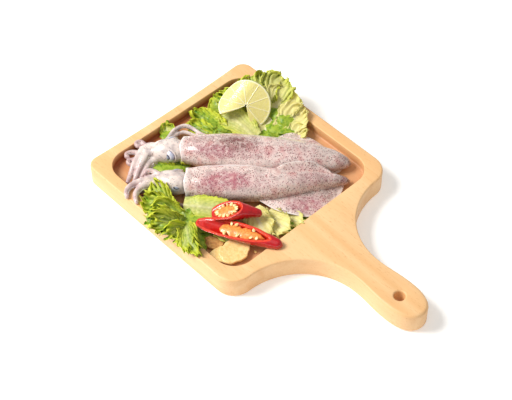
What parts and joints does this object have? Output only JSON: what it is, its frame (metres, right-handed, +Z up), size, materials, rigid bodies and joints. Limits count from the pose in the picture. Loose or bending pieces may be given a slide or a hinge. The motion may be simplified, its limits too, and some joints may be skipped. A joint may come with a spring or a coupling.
{
  "type": "whole raw squid on a wooden serving board",
  "caption": "Whole raw squid laid side by side in the square tray of a wooden paddle board, with lettuce, a lime slice, cut red chilli and ginger slices.",
  "frame": {"origin": "on the underside of the board, below the middle of its square tray", "axes": "+X along the handle, +Y across the board to the left of the handle, +Z up"},
  "size_m": [0.33, 0.2096, 0.0515],
  "materials": {
    "board_wood": "oiled, satin",
    "squid_flesh": "wet skin",
    "lime": "wet flesh",
    "chilli": "glossy skin",
    "ginger": "cut root, satin",
    "lettuce": "crisp leaf, satin"
  },
  "bodies": {
    "root": {"board": "board_wood", "squid_rear": "squid_flesh", "squid_front": "squid_flesh", "lime_slice": "lime", "chilli_long": "chilli", "chilli_short": "chilli", "ginger_1": "ginger", "ginger_2": "ginger", "ginger_3": "ginger", "lettuce_front": "lettuce", "lettuce_fold": "lettuce", "lettuce_right": "lettuce", "lettuce_back": "lettuce", "lettuce_corner": "lettuce", "lettuce_between": "lettuce"}
  },
  "joints": []
}
